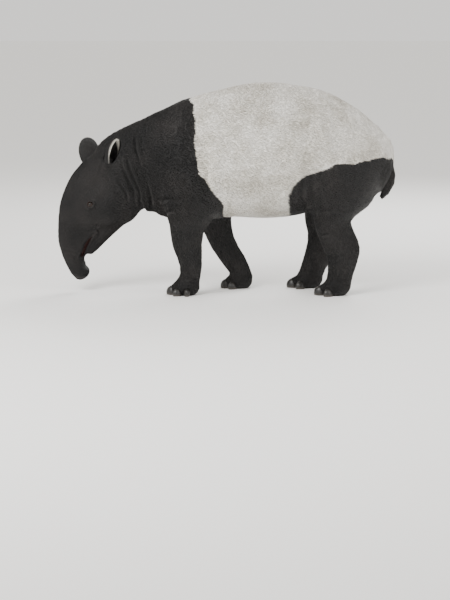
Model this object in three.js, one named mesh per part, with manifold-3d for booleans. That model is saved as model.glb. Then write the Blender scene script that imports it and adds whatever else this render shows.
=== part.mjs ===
// A Malayan tapir at life size, standing with its head lowered to graze.
// Millimetres, +Z up. The animal faces -X, and its left side is -Y.
// The body is described once, as a field: the distance to a smooth union of tubes and masses.
// The field is turned into a mesh region by region, thinned, and then parted by thin plane cuts.
import * as THREE from "three";
import { mergeVertices } from "three/addons/utils/BufferGeometryUtils.js";
import Module from "manifold-3d";

const wasm = await Module();
wasm.setup();

// Driving sizes
const GAP = 0.3; // clearance between parts that touch
const EYE = { x: -634, z: 427, radius: 17, sunk: 8, opening: [19, 13], tilt: 0.5, lid: 7 };

// Small maths helpers
const clamp = (v, low, high) => Math.min(high, Math.max(low, v));
const mix = (a, b, t) => a + (b - a) * t;

// Smooth union of two distances. k is the width of the blend.
function blend(a, b, k) {
  const h = Math.max(k - Math.abs(a - b), 0) / k;
  return Math.min(a, b) - (h * h * k) / 4;
}

// First-order distance to an ellipsoid with radii a, b and c, from its middle.
function ellipsoidDistance(u, v, w, a, b, c) {
  const k0 = Math.hypot(u / a, v / b, w / c);
  const k1 = Math.hypot(u / (a * a), v / (b * b), w / (c * c));
  return k1 < 1e-9 ? -Math.min(a, b, c) : (k0 * (k0 - 1)) / k1;
}

// Catmull-Rom sampling of a list of stations, each a row of numbers.
function smoothStations(stations, steps) {
  const rows = [];
  const last = stations.length - 1;
  for (let i = 0; i < last; i++) {
    const [p0, p1, p2, p3] = [-1, 0, 1, 2].map((k) => stations[clamp(i + k, 0, last)]);
    for (let s = 0; s < steps; s++) {
      const t = s / steps;
      rows.push(
        p1.map(
          (v, c) =>
            0.5 *
            (2 * v +
              (p2[c] - p0[c]) * t +
              (2 * p0[c] - 5 * v + 4 * p2[c] - p3[c]) * t * t +
              (3 * v - p0[c] - 3 * p2[c] + p3[c]) * t * t * t),
        ),
      );
    }
  }
  rows.push(stations[last]);
  return rows;
}

// A tube of changing oval section. A station is x, y, z of its middle, half its depth and half its width.
// cap is how far each end is rounded out, as a share of the depth there. egg narrows the upper side.
function tube(stations, { k = 30, steps = 5, cap = [0.5, 0.5], egg = 0 } = {}) {
  const rows = smoothStations(stations, steps);
  const count = rows.length;
  const tangents = rows.map((_, i) => {
    const [a, b] = [rows[Math.max(i - 1, 0)], rows[Math.min(i + 1, count - 1)]];
    return new THREE.Vector3(b[0] - a[0], b[1] - a[1], b[2] - a[2]).normalize();
  });
  const box = new THREE.Box3();
  rows.forEach((r) => {
    const reach = Math.max(r[3], r[4]) * 1.6;
    box.expandByPoint(new THREE.Vector3(r[0] - reach, r[1] - reach, r[2] - reach));
    box.expandByPoint(new THREE.Vector3(r[0] + reach, r[1] + reach, r[2] + reach));
  });
  const distance = (x, y, z) => {
    let best = Infinity;
    let at = 0;
    let along = 0;
    for (let i = 0; i < count - 1; i++) {
      const [a, b] = [rows[i], rows[i + 1]];
      const [dx, dy, dz] = [b[0] - a[0], b[1] - a[1], b[2] - a[2]];
      const t = clamp(
        ((x - a[0]) * dx + (y - a[1]) * dy + (z - a[2]) * dz) / (dx * dx + dy * dy + dz * dz),
        0,
        1,
      );
      const d = (x - a[0] - t * dx) ** 2 + (y - a[1] - t * dy) ** 2 + (z - a[2] - t * dz) ** 2;
      if (d < best) [best, at, along] = [d, i, t];
    }
    const [a, b] = [rows[at], rows[at + 1]];
    const row = [0, 1, 2, 3, 4].map((c) => mix(a[c], b[c], along));
    const [ta, tb] = [tangents[at], tangents[at + 1]];
    let [tx, ty, tz] = [mix(ta.x, tb.x, along), mix(ta.y, tb.y, along), mix(ta.z, tb.z, along)];
    const length = Math.hypot(tx, ty, tz);
    [tx, ty, tz] = [tx / length, ty / length, tz / length];
    const [rx, ry, rz] = [x - row[0], y - row[1], z - row[2]];
    // Side direction: +Y made square to the tangent. Depth direction: square to both.
    const sideLength = Math.hypot(-ty * tx, 1 - ty * ty, -ty * tz);
    const [sx, sy, sz] = [-ty * tx / sideLength, (1 - ty * ty) / sideLength, -ty * tz / sideLength];
    const v = rx * sx + ry * sy + rz * sz;
    const u = rx * (sy * tz - sz * ty) + ry * (sz * tx - sx * tz) + rz * (sx * ty - sy * tx);
    const w = rx * tx + ry * ty + rz * tz;
    const end = (at === 0 && along === 0) || (at === count - 2 && along === 1);
    const reach = at === 0 && along === 0 ? cap[0] : cap[1];
    const width = egg ? row[4] * (1 - egg * clamp(-u / row[3], -1, 1)) : row[4];
    return ellipsoidDistance(u, v, end ? w : 0, row[3], width, Math.max(row[3] * reach, 1));
  };
  return { distance, box, k };
}

// An oval mass. size holds its radii, and tilt turns it about Y, in degrees.
function mass(middle, size, { k = 30, tilt = 0 } = {}) {
  const [c, s] = [Math.cos((tilt * Math.PI) / 180), Math.sin((tilt * Math.PI) / 180)];
  const reach = Math.max(...size) * 1.1;
  const box = new THREE.Box3(
    new THREE.Vector3(...middle.map((v) => v - reach)),
    new THREE.Vector3(...middle.map((v) => v + reach)),
  );
  const distance = (x, y, z) => {
    const [dx, dy, dz] = [x - middle[0], y - middle[1], z - middle[2]];
    return ellipsoidDistance(dx * c - dz * s, dy, dx * s + dz * c, ...size);
  };
  return { distance, box, k };
}

// The same mass on both sides of the body.
const pair = (middle, size, options) =>
  [-1, 1].map((side) => mass([middle[0], side * middle[1], middle[2]], size, options));

// Trunk, from the base of the neck to the rump
const TRUNK = [
  [-262, 0, 602, 232, 172],
  [-150, 0, 624, 284, 214],
  [0, 0, 658, 302, 248],
  [150, 0, 674, 320, 268],
  [290, 0, 676, 315, 270],
  [410, 0, 678, 289, 250],
  [520, 0, 661, 247, 222],
  [610, 0, 631, 203, 190],
  [660, 0, 604, 178, 168],
];
const trunk = [
  tube(TRUNK, { k: 50, cap: [0.4, 0.7], egg: 0.1 }),
  mass([592, 0, 603], [170, 178, 168], { k: 60, tilt: 20 }),
  ...pair([-160, 120, 560], [112, 92, 235], { k: 60, tilt: -8 }),
  ...pair([534, 112, 510], [146, 112, 150], { k: 70, tilt: 8 }),
];

// Neck, from inside the shoulders to the back of the skull
const NECK = [
  [-180, 0, 618, 268, 180],
  [-290, 0, 606, 250, 156],
  [-370, 0, 597, 222, 128],
  [-450, 0, 576, 200, 112],
  [-500, 0, 548, 184, 102],
];
const neck = [tube(NECK, { k: 60, cap: [0.4, 0.35] })];

// Head, from the skull down the muzzle to the tip of the trunk-like snout
const HEAD = [
  [-552, 0, 508, 166, 94],
  [-606, 0, 452, 163, 92],
  [-668, 0, 374, 136, 77],
  [-706, 0, 312, 100, 61],
  [-730, 0, 252, 70, 50],
  [-731, 0, 200, 55, 43],
  [-720, 0, 152, 47, 39],
  [-702, 0, 112, 44, 38],
  [-685, 0, 88, 42, 40],
];
const JAW = [
  [-520, 0, 372, 66, 66],
  [-560, 0, 318, 52, 54],
  [-598, 0, 264, 39, 42],
  [-627, 0, 222, 30, 34],
  [-645, 0, 196, 21, 28],
];
// Lips: a roll along each side of the mouth, above and below
const LIPS = [
  [
    [-626, 36, 290, 9, 9],
    [-650, 40, 272, 9, 9],
    [-674, 38, 246, 9, 9],
    [-686, 32, 208, 8, 8],
  ],
  [
    [-618, 34, 272, 9, 9],
    [-634, 30, 246, 9, 9],
    [-652, 22, 212, 9, 9],
    [-662, 8, 192, 9, 9],
  ],
];
const mirrored = (rows) => rows.map(([x, y, z, ...sizes]) => [x, -y, z, ...sizes]);
const lips = LIPS.flatMap((rows) => [rows, mirrored(rows)]).map((rows) => tube(rows, { k: 9, steps: 3 }));
const head = [
  ...lips,
  mass([-582, 0, 580], [78, 74, 96], { k: 40, tilt: 20 }),
  tube(HEAD, { k: 45, cap: [0.3, 0.75], egg: -0.16 }),
  ...pair([-548, 62, 430], [92, 40, 105], { k: 26, tilt: 20 }),
  ...pair([-622, 66, 452], [52, 22, 40], { k: 22, tilt: 30 }),
  ...pair([-560, 62, 618], [40, 30, 34], { k: 30 }),
  mass([-495, 0, 398], [80, 62, 74], { k: 26 }),
  tube(JAW, { k: 10, cap: [0.3, 0.8] }),
];

// Legs: side -1 is the left leg, nearest the viewer of the left profile
const LEGS = [
  {
    name: "foreleg_left",
    rows: [
      [-168, -132, 480, 112, 66],
      [-170, -128, 390, 104, 66],
      [-178, -120, 312, 82, 58],
      [-178, -115, 248, 72, 53],
      [-168, -112, 191, 61, 48],
      [-162, -112, 143, 54, 45],
      [-164, -112, 95, 50, 45],
      [-176, -112, 52, 54, 48],
    ],
  },
  {
    name: "foreleg_right",
    rows: [
      [-70, 132, 480, 112, 66],
      [-56, 128, 380, 92, 64],
      [-38, 120, 300, 72, 56],
      [-14, 115, 230, 62, 50],
      [18, 112, 172, 57, 46],
      [50, 112, 125, 54, 45],
      [72, 112, 85, 50, 43],
      [80, 112, 52, 54, 48],
    ],
  },
  {
    name: "hindleg_left",
    rows: [
      [540, -118, 500, 150, 88],
      [508, -124, 418, 112, 80],
      [504, -124, 345, 84, 66],
      [528, -122, 280, 83, 58],
      [552, -120, 218, 82, 50],
      [553, -120, 162, 72, 47],
      [546, -120, 110, 62, 46],
      [536, -120, 56, 60, 50],
    ],
  },
  {
    name: "hindleg_right",
    rows: [
      [530, 118, 500, 150, 88],
      [484, 124, 418, 108, 80],
      [468, 124, 345, 84, 66],
      [478, 122, 280, 80, 56],
      [476, 120, 218, 80, 50],
      [453, 120, 162, 68, 47],
      [432, 120, 110, 60, 45],
      [414, 120, 56, 60, 50],
    ],
  },
];

// Feet: a pad under the ankle, with toes that fan out from it
const TOES = {
  foreleg: [
    { turn: -4, reach: 64, size: 28 },
    { turn: -46, reach: 56, size: 23 },
    { turn: 40, reach: 56, size: 23 },
    { turn: 86, reach: 50, size: 18, raised: 16 },
  ],
  hindleg: [
    { turn: 0, reach: 76, size: 29 },
    { turn: -43, reach: 62, size: 24 },
    { turn: 43, reach: 62, size: 24 },
  ],
};
const legs = [];
const hooves = [];
LEGS.forEach(({ name, rows }) => {
  const outside = name.endsWith("left") ? -1 : 1;
  const [ankleX, ankleY] = rows[rows.length - 1];
  legs.push(tube(rows, { k: 40, cap: [0.3, 0.5] }));
  legs.push(mass([ankleX - 10, ankleY, 30], [62, 56, 42], { k: 24 }));
  TOES[name.split("_")[0]].forEach(({ turn, reach, size, raised = 0 }, i) => {
    const angle = (outside * turn * Math.PI) / 180;
    const [wayX, wayY] = [-Math.cos(angle), Math.sin(angle)];
    const toe = (out, up, r) => [ankleX + wayX * out, ankleY + wayY * out, up + raised, r, r];
    const knuckle = toe(reach * 0.3, size * 1.5, size);
    legs.push(tube([knuckle, toe(reach, size * 0.9, size * 0.92)], { k: 16, steps: 2, cap: [0.5, 0.7] }));
    hooves.push({ name: `${name}_hoof_${i + 1}`, tip: toe(reach, size * 0.8, 0), way: [wayX, wayY], size });
  });
});
// Points of the hocks
[
  [LEGS[2], [612, 226]],
  [LEGS[3], [534, 230]],
].forEach(([leg, [x, z]]) => {
  legs.push(mass([x - 16, leg.rows[4][1], z], [24, 24, 40], { k: 30, tilt: -12 }));
});

// Tail
const TAIL = [
  [742, 0, 622, 34, 34],
  [776, 0, 586, 31, 30],
  [782, 0, 530, 26, 25],
  [764, 0, 482, 20, 19],
  [748, 0, 456, 14, 14],
];
const tail = tube(TAIL, { cap: [0.5, 0.9] });

const FORMS = [...trunk, ...neck, ...head, ...legs];

// Distance to the whole body. A form too far off to blend is passed over.
function bodyDistance(x, y, z) {
  let d = 400;
  const point = new THREE.Vector3(x, y, z);
  for (const form of FORMS) {
    const off = form.box.distanceToPoint(point);
    if (off < form.k + Math.max(d, 0)) d = blend(d, form.distance(x, y, z), form.k);
  }
  return d;
}

// A closed mesh of the field's zero level inside a box, by six tetrahedra a cell.
const TETRAHEDRA = [
  [0, 1, 3, 7],
  [0, 3, 2, 7],
  [0, 2, 6, 7],
  [0, 6, 4, 7],
  [0, 4, 5, 7],
  [0, 5, 1, 7],
];
function polygonise(distance, low, high, cell) {
  const [nx, ny, nz] = [0, 1, 2].map((i) => Math.ceil((high[i] - low[i]) / cell) + 1);
  const index = (i, j, k) => i + nx * (j + ny * k);
  // A coarse pass finds the blocks near the surface. Only those are measured point by point.
  const block = 4;
  const values = new Float32Array(nx * ny * nz);
  const at = (i, j, k) => distance(low[0] + i * cell, low[1] + j * cell, low[2] + k * cell);
  for (let K = 0; K < nz; K += block)
    for (let J = 0; J < ny; J += block)
      for (let I = 0; I < nx; I += block) {
        const coarse = at(I + block / 2, J + block / 2, K + block / 2);
        const near = Math.abs(coarse) < block * cell * 1.6;
        for (let k = K; k < Math.min(K + block, nz); k++)
          for (let j = J; j < Math.min(J + block, ny); j++)
            for (let i = I; i < Math.min(I + block, nx); i++) {
              const edge = i * j * k === 0 || i === nx - 1 || j === ny - 1 || k === nz - 1;
              const v = near ? at(i, j, k) : coarse;
              values[index(i, j, k)] = edge ? Math.max(v, cell * 0.2) : v || 1e-4;
            }
      }
  const points = [];
  const triangles = [];
  const found = new Map();
  const place = (n) => [n % nx, Math.floor(n / nx) % ny, Math.floor(n / (nx * ny))];
  const cross = (a, b) => {
    const key = a < b ? a * values.length + b : b * values.length + a;
    if (found.has(key)) return found.get(key);
    const t = values[a] / (values[a] - values[b]);
    const [pa, pb] = [place(a), place(b)];
    points.push(...pa.map((v, c) => low[c] + cell * mix(v, pb[c], t)));
    found.set(key, points.length / 3 - 1);
    return points.length / 3 - 1;
  };
  const facing = (a, b, c, inside) => {
    const pointAt = (n) => new THREE.Vector3(points[3 * n], points[3 * n + 1], points[3 * n + 2]);
    const [A, B, C] = [a, b, c].map(pointAt);
    const [i, j, k] = place(inside);
    const from = new THREE.Vector3(low[0] + i * cell, low[1] + j * cell, low[2] + k * cell);
    const out = B.sub(A).cross(C.sub(A)).dot(A.clone().sub(from)) > 0;
    triangles.push(a, out ? b : c, out ? c : b);
  };
  for (let k = 0; k < nz - 1; k++)
    for (let j = 0; j < ny - 1; j++)
      for (let i = 0; i < nx - 1; i++) {
        const corner = (n) => index(i + (n & 1), j + ((n >> 1) & 1), k + (n >> 2));
        let inside = 0;
        for (let n = 0; n < 8; n++) inside += values[corner(n)] < 0 ? 1 : 0;
        if (inside === 0 || inside === 8) continue;
        for (const tetra of TETRAHEDRA) {
          const corners = tetra.map(corner);
          const inner = corners.filter((n) => values[n] < 0);
          const outer = corners.filter((n) => values[n] >= 0);
          if (inner.length === 1)
            facing(...outer.map((n) => cross(inner[0], n)), inner[0]);
          else if (inner.length === 3)
            facing(...inner.map((n) => cross(n, outer[0])), inner[0]);
          else if (inner.length === 2) {
            const [a, b] = [cross(inner[0], outer[0]), cross(inner[0], outer[1])];
            const [c, d] = [cross(inner[1], outer[0]), cross(inner[1], outer[1])];
            facing(a, b, d, inner[0]);
            facing(a, d, c, inner[0]);
          }
        }
      }
  return { points, triangles };
}

// Thins a closed mesh to about the wanted number of triangles, by quadric edge collapse.
function thin({ points, triangles }, wanted) {
  const P = Float64Array.from(points);
  const T = Int32Array.from(triangles);
  const vertexCount = P.length / 3;
  const around = Array.from({ length: vertexCount }, () => []);
  const Q = new Float64Array(vertexCount * 10);
  const live = new Uint8Array(T.length / 3).fill(1);
  const normalOf = (a, b, c) => {
    const [ux, uy, uz] = [b[0] - a[0], b[1] - a[1], b[2] - a[2]];
    const [vx, vy, vz] = [c[0] - a[0], c[1] - a[1], c[2] - a[2]];
    return [uy * vz - uz * vy, uz * vx - ux * vz, ux * vy - uy * vx];
  };
  const at = (v) => [P[3 * v], P[3 * v + 1], P[3 * v + 2]];
  for (let f = 0; f < T.length / 3; f++) {
    const [a, b, c] = [T[3 * f], T[3 * f + 1], T[3 * f + 2]];
    const n = normalOf(at(a), at(b), at(c));
    const length = Math.hypot(...n) || 1e-12;
    const [nx, ny, nz] = n.map((v) => v / length);
    const d = -(nx * P[3 * a] + ny * P[3 * a + 1] + nz * P[3 * a + 2]);
    const q = [nx * nx, nx * ny, nx * nz, nx * d, ny * ny, ny * nz, ny * d, nz * nz, nz * d, d * d];
    for (const v of [a, b, c]) {
      around[v].push(f);
      for (let i = 0; i < 10; i++) Q[10 * v + i] += q[i] * (length / 2);
    }
  }
  const stamp = new Int32Array(vertexCount);
  const heap = [];
  const swap = (i, j) => ([heap[i], heap[j]] = [heap[j], heap[i]]);
  const push = (entry) => {
    let i = heap.push(entry) - 1;
    while (i > 0 && heap[(i - 1) >> 1].cost > heap[i].cost) {
      swap(i, (i - 1) >> 1);
      i = (i - 1) >> 1;
    }
  };
  const pop = () => {
    const top = heap[0];
    const last = heap.pop();
    if (heap.length) {
      heap[0] = last;
      for (let i = 0; ; ) {
        const [l, r] = [2 * i + 1, 2 * i + 2];
        let least = i;
        if (l < heap.length && heap[l].cost < heap[least].cost) least = l;
        if (r < heap.length && heap[r].cost < heap[least].cost) least = r;
        if (least === i) break;
        swap(i, least);
        i = least;
      }
    }
    return top;
  };
  const queue = (a, b) => {
    const q = new Array(10);
    for (let i = 0; i < 10; i++) q[i] = Q[10 * a + i] + Q[10 * b + i];
    const middle = [0, 1, 2].map((c) => (P[3 * a + c] + P[3 * b + c]) / 2);
    // A small pull to the edge's middle keeps flat places well conditioned.
    const pull = 1e-3 * (q[0] + q[4] + q[7]) + 1e-9;
    const m = [q[0] + pull, q[1], q[2], q[4] + pull, q[5], q[7] + pull];
    const r = [q[3] - pull * middle[0], q[6] - pull * middle[1], q[8] - pull * middle[2]];
    const c00 = m[3] * m[5] - m[4] * m[4];
    const c01 = m[2] * m[4] - m[1] * m[5];
    const c02 = m[1] * m[4] - m[2] * m[3];
    const c11 = m[0] * m[5] - m[2] * m[2];
    const c12 = m[1] * m[2] - m[0] * m[4];
    const c22 = m[0] * m[3] - m[1] * m[1];
    const det = m[0] * c00 + m[1] * c01 + m[2] * c02;
    const to = [
      -(c00 * r[0] + c01 * r[1] + c02 * r[2]) / det,
      -(c01 * r[0] + c11 * r[1] + c12 * r[2]) / det,
      -(c02 * r[0] + c12 * r[1] + c22 * r[2]) / det,
    ];
    const [x, y, z] = to;
    const error =
      q[0] * x * x + 2 * q[1] * x * y + 2 * q[2] * x * z + 2 * q[3] * x + q[4] * y * y +
      2 * q[5] * y * z + 2 * q[6] * y + q[7] * z * z + 2 * q[8] * z + q[9];
    // Of two edges that cost the same, the shorter one goes first.
    const length2 = [0, 1, 2].reduce((sum, c) => sum + (P[3 * a + c] - P[3 * b + c]) ** 2, 0);
    const cost = Math.max(error, 0) + 2e-7 * length2 * length2;
    push({ cost, a, b, to, seen: [stamp[a], stamp[b]] });
  };
  const neighbours = (v) => {
    const list = [];
    for (const f of around[v])
      for (let i = 3 * f; i < 3 * f + 3; i++) if (T[i] !== v && !list.includes(T[i])) list.push(T[i]);
    return list;
  };
  // Whether moving v to a new place turns a triangle over or makes a sliver of it.
  const flips = (v, other, to) => {
    for (const f of around[v]) {
      const [a, b, c] = [T[3 * f], T[3 * f + 1], T[3 * f + 2]];
      if (a === other || b === other || c === other) continue;
      // The two corners that stay, in the triangle's own order after v
      const [p, q] = a === v ? [3 * b, 3 * c] : b === v ? [3 * c, 3 * a] : [3 * a, 3 * b];
      const [ex, ey, ez] = [P[q] - P[p], P[q + 1] - P[p + 1], P[q + 2] - P[p + 2]];
      const [ux, uy, uz] = [P[p] - P[3 * v], P[p + 1] - P[3 * v + 1], P[p + 2] - P[3 * v + 2]];
      const [wx, wy, wz] = [P[p] - to[0], P[p + 1] - to[1], P[p + 2] - to[2]];
      const [bx, by, bz] = [uy * ez - uz * ey, uz * ex - ux * ez, ux * ey - uy * ex];
      const [nx, ny, nz] = [wy * ez - wz * ey, wz * ex - wx * ez, wx * ey - wy * ex];
      const [before, after] = [Math.hypot(bx, by, bz), Math.hypot(nx, ny, nz)];
      if (bx * nx + by * ny + bz * nz < 0.3 * before * after) return true;
      const far2 = (P[q] - to[0]) ** 2 + (P[q + 1] - to[1]) ** 2 + (P[q + 2] - to[2]) ** 2;
      const longest2 = Math.max(ex * ex + ey * ey + ez * ez, wx * wx + wy * wy + wz * wz, far2);
      if (after < 0.06 * longest2 && after < before) return true;
    }
    return false;
  };
  let count = T.length / 3;
  for (let i = 0; i < T.length; i++) {
    const next = T[i % 3 === 2 ? i - 2 : i + 1];
    if (T[i] < next) queue(T[i], next);
  }
  while (count > wanted && heap.length) {
    const { a, b, to, seen } = pop();
    if (stamp[a] !== seen[0] || stamp[b] !== seen[1] || !around[a].length || !around[b].length) continue;
    const [na, nb] = [neighbours(a), neighbours(b)];
    if (na.filter((n) => nb.includes(n)).length !== 2) continue;
    if (flips(a, b, to) || flips(b, a, to)) continue;
    P.set(to, 3 * a);
    for (let i = 0; i < 10; i++) Q[10 * a + i] += Q[10 * b + i];
    for (const f of around[b]) {
      const corners = [T[3 * f], T[3 * f + 1], T[3 * f + 2]];
      if (corners.includes(a)) {
        live[f] = 0;
        count--;
        for (const c of corners) if (c !== b) around[c] = around[c].filter((g) => g !== f);
      } else {
        T[3 * f + corners.indexOf(b)] = a;
        around[a].push(f);
      }
    }
    around[b] = [];
    stamp[a]++;
    stamp[b]++;
    for (const n of neighbours(a)) queue(a, n);
  }
  const kept = [];
  for (let f = 0; f < live.length; f++) if (live[f]) kept.push(T[3 * f], T[3 * f + 1], T[3 * f + 2]);
  return { points: P, triangles: kept };
}

// Between three.js geometry and solids
function solidOfArrays({ points, triangles }) {
  const geometry = new THREE.BufferGeometry();
  geometry.setAttribute("position", new THREE.BufferAttribute(Float32Array.from(points), 3));
  geometry.setIndex(Array.from(triangles));
  return solidOfGeometry(geometry);
}
function solidOfGeometry(geometry, matrix) {
  const plain = geometry.clone();
  plain.deleteAttribute("normal");
  plain.deleteAttribute("uv");
  if (matrix) plain.applyMatrix4(matrix);
  const merged = mergeVertices(plain, 1e-4);
  return new wasm.Manifold(
    new wasm.Mesh({
      numProp: 3,
      vertProperties: merged.attributes.position.array,
      triVerts: Uint32Array.from(merged.index.array),
    }),
  );
}
function largest(solid) {
  return solid.decompose().reduce((a, b) => (a.volume() >= b.volume() ? a : b));
}
function meshOf(name, solid, material) {
  const mesh = largest(solid).getMesh();
  const points = new Float32Array(mesh.numVert * 3);
  for (let i = 0; i < mesh.numVert; i++)
    points.set(mesh.vertProperties.subarray(i * mesh.numProp, i * mesh.numProp + 3), i * 3);
  const geometry = new THREE.BufferGeometry();
  geometry.setAttribute("position", new THREE.BufferAttribute(points, 3));
  geometry.setIndex(new THREE.BufferAttribute(mesh.triVerts, 1));
  geometry.computeVertexNormals();
  const made = new THREE.Mesh(geometry, material);
  made.name = name;
  return made;
}

// Everything on the side of a plane that its normal points to, less half the gap.
const WORLD = 4000;
function halfSpace(point, normal) {
  const way = new THREE.Vector3(...normal).normalize();
  const turn = new THREE.Quaternion().setFromUnitVectors(new THREE.Vector3(0, 0, 1), way);
  const middle = new THREE.Vector3(...point).addScaledVector(way, WORLD / 2 + GAP / 2);
  const matrix = new THREE.Matrix4().compose(middle, turn, new THREE.Vector3(1, 1, 1));
  return solidOfGeometry(new THREE.BoxGeometry(WORLD, WORLD, WORLD), matrix);
}
const beyond = (solid, plane, sign = 1) =>
  solid.intersect(halfSpace(plane.point, plane.normal.map((v) => v * sign)));

// Cutting planes. Each normal points away from the trunk.
const FLOOR = { point: [0, 0, -GAP / 2], normal: [0, 0, 1] };
const NECK_CUT = { point: [-262, 0, 600], normal: [-1, 0, 0.2] };
const HEAD_CUT = { point: [-470, 0, 560], normal: [-1, 0, -0.12] };
const SNOUT_CUT = { point: [-730, 0, 236], normal: [-0.12, 0, -1] };
const JAW_ROOM = {
  low: [-665, -120, 120],
  high: [-400, 120, 420],
  plane: { point: [-624, 0, 278], normal: [0.48, 0, -0.875] },
};
const LEG_CUT = { point: [0, 0, 324], normal: [0, 0, -1] };
const SHIN_CUTS = {
  foreleg: { point: [0, 0, 160], normal: [0, 0, -1] },
  hindleg: { point: [0, 0, 190], normal: [0, 0, -1] },
};
const TAIL_CUT = { point: [760, 0, 600], normal: [0.6, 0, -0.8] };

// A box beyond a plane. grow widens it on every side, or narrows it when it is negative.
function room({ low, high, plane }, grow) {
  const [from, to] = [low, high].map((corner) => new THREE.Vector3(...corner));
  const size = to.clone().sub(from).addScalar(2 * grow);
  const matrix = new THREE.Matrix4().setPosition(from.add(to).multiplyScalar(0.5));
  const box = solidOfGeometry(new THREE.BoxGeometry(size.x, size.y, size.z), matrix);
  const way = new THREE.Vector3(...plane.normal).normalize();
  const point = new THREE.Vector3(...plane.point).addScaledVector(way, -grow - GAP / 2);
  return box.intersect(halfSpace(point.toArray(), plane.normal));
}

const BLACK = new THREE.MeshStandardMaterial({ color: 0x1b1a1a, roughness: 0.8, metalness: 0 });
const WHITE = new THREE.MeshStandardMaterial({ color: 0xe9e7e1, roughness: 0.8, metalness: 0 });
const HORN = new THREE.MeshStandardMaterial({ color: 0x3a3532, roughness: 0.5, metalness: 0 });
const GLASS = new THREE.MeshStandardMaterial({ color: 0x1a120c, roughness: 0.1, metalness: 0 });

const tapir = new THREE.Group();
const add = (name, solid, material) => tapir.add(meshOf(name, solid, material));
const carve = (low, high, cell, wanted) =>
  solidOfArrays(thin(polygonise(bodyDistance, low, high, cell), wanted));

// Trunk and tail
const barrel = carve([-420, -322, 250], [840, 322, 1030], 14, 3000);
const trunkOnly = beyond(beyond(barrel, NECK_CUT, -1), LEG_CUT, -1);
const tailShape = (grow, wanted) => {
  const form = (x, y, z) => tail.distance(x, y, z) - grow;
  return solidOfArrays(thin(polygonise(form, [690, -60, 400], [850, 60, 700], 7), wanted));
};
const rumpSeat = { point: [760, 0, 600 + GAP], normal: TAIL_CUT.normal };
add("torso", trunkOnly.subtract(beyond(tailShape(2.5, 400), rumpSeat)), WHITE);
add("tail", beyond(tailShape(0, 320), TAIL_CUT), BLACK);

// A rounded solid with three radii, along the axes of a basis.
function pebble(middle, radii, basis, grow = 0, detail = [10, 7]) {
  const matrix = new THREE.Matrix4().makeBasis(...basis);
  matrix.setPosition(...middle).scale(new THREE.Vector3(...radii.map((r) => r + grow)));
  return solidOfGeometry(new THREE.SphereGeometry(1, ...detail), matrix);
}
const UPRIGHT = [new THREE.Vector3(1, 0, 0), new THREE.Vector3(0, 1, 0), new THREE.Vector3(0, 0, 1)];

// How far out the surface lies at the side of the head.
function sideAt(x, z) {
  let [inner, outer] = [0, 250];
  while (outer - inner > 0.05) {
    const y = (inner + outer) / 2;
    if (bodyDistance(x, y, z) < 0) inner = y;
    else outer = y;
  }
  return inner;
}

// Ears: a cupped leaf, the hollow of one oval cut from another
const EARS = [
  { name: "ear_left", base: [-550, -56, 600], tip: [-510, -97, 734], opening: [0.9, -0.42, 0.1] },
  { name: "ear_right", base: [-634, 50, 582], tip: [-662, 92, 730], opening: [-0.4, 0.9, 0.1] },
];
const EAR_WIDTH = 51;
const EAR_DEPTH = 27;
function ear({ base, tip, opening }) {
  const [from, to] = [base, tip].map((p) => new THREE.Vector3(...p));
  const along = to.clone().sub(from);
  const length = along.length();
  along.normalize();
  const front = new THREE.Vector3(...opening);
  front.addScaledVector(along, -front.dot(along)).normalize();
  const side = front.clone().cross(along);
  const middle = from.clone().lerp(to, 0.5);
  const form = (x, y, z) => {
    const p = new THREE.Vector3(x, y, z).sub(middle);
    const [u, v, w] = [p.dot(side), p.dot(front), p.dot(along)];
    // Broadest below the middle, and drawn in to a stalk at the root
    const taper = 1 + 0.16 * clamp(w / length, -0.5, 0.5) - 0.5 * clamp(-w / length - 0.22, 0, 0.3);
    const outer = ellipsoidDistance(u / taper, v, w, EAR_WIDTH, EAR_DEPTH, length / 2);
    const hollow = ellipsoidDistance(u / taper, v - 9, w - 7, EAR_WIDTH - 3, EAR_DEPTH - 1, length / 2 - 6);
    return -blend(-outer, hollow, 5);
  };
  const reach = length / 2 + 20;
  const low = middle.clone().subScalar(reach).toArray();
  const high = middle.clone().addScalar(reach).toArray();
  const leaf = solidOfArrays(thin(polygonise(form, low, high, 4), 480));
  const radii = [EAR_WIDTH * 1.08, EAR_DEPTH, length / 2];
  const pocket = pebble(middle.toArray(), radii, [side, front, along], 2.5, [16, 11]);
  const root = from.clone().addScaledVector(along, 8);
  const deeper = root.clone().addScaledVector(along, -GAP);
  const normal = along.toArray();
  return {
    leaf: beyond(leaf, { point: root.toArray(), normal }),
    pocket: beyond(pocket, { point: deeper.toArray(), normal }),
  };
}

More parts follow.
